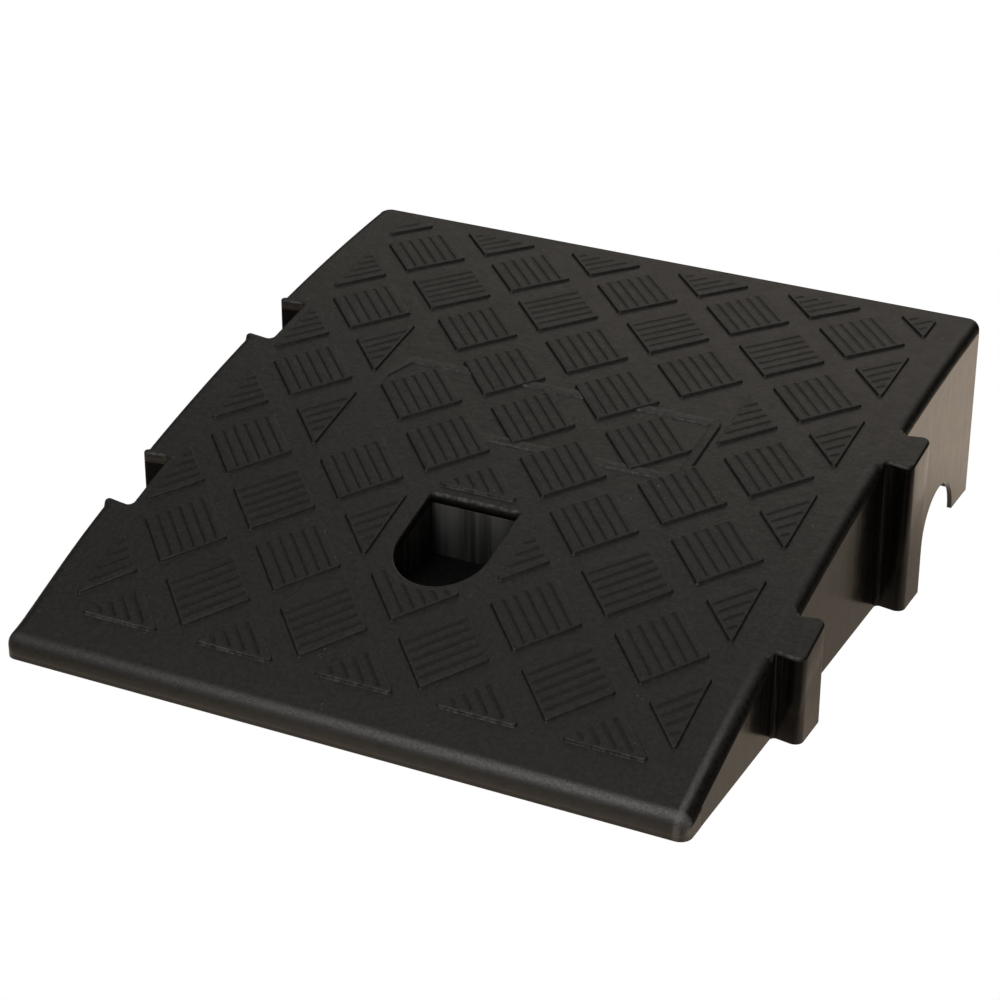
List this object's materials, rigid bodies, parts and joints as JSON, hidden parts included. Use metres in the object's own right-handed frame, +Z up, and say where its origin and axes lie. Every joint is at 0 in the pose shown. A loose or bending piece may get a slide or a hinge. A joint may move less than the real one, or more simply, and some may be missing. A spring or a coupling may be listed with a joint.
{
  "type": "kerb ramp",
  "caption": "Black moulded plastic kerb ramp: curved deck with a tread of cornerwise ribbed pads, an anchor well, a drain arch, and side lugs that hook into the next ramp.",
  "frame": {"origin": "on the ground, in the middle of the box round the whole part, lugs included", "axes": "+Z up, +Y up the slope from the front edge to the back wall, +X along the front edge to the lug side"},
  "size_m": [0.437, 0.454, 0.1158],
  "materials": {
    "shell": "satin, fine-grained mould texture",
    "tread": "satin, fine-grained mould texture",
    "ribs": "plain, as moulded"
  },
  "bodies": {
    "root": {"deck": "shell", "front_toe": "shell", "back_wall": "shell", "right_wall": "shell", "left_wall_front": "shell", "left_wall_middle": "shell", "left_wall_rear": "shell", "front_lug": "shell", "rear_lug": "shell", "front_socket": "shell", "rear_socket": "shell", "well_sleeve": "shell", "well_floor": "shell", "panel_rim": "shell", "drain_wall": "ribs", "long_rib_1": "ribs", "long_rib_2": "ribs", "long_rib_3": "ribs", "long_rib_4": "ribs", "rear_rib_1": "ribs", "rear_rib_2": "ribs", "rear_rib_3": "ribs", "rear_rib_4": "ribs", "cross_rib_1": "ribs", "cross_rib_2": "ribs", "cross_rib_3": "ribs", "tread_row_1": "tread", "tread_row_2": "tread", "tread_row_3": "tread", "tread_row_4": "tread", "tread_row_5": "tread", "tread_row_6": "tread", "tread_row_7": "tread", "tread_row_8": "tread", "tread_row_9": "tread", "tread_row_10": "tread", "tread_row_11": "tread", "tread_row_12": "tread"}
  },
  "joints": []
}
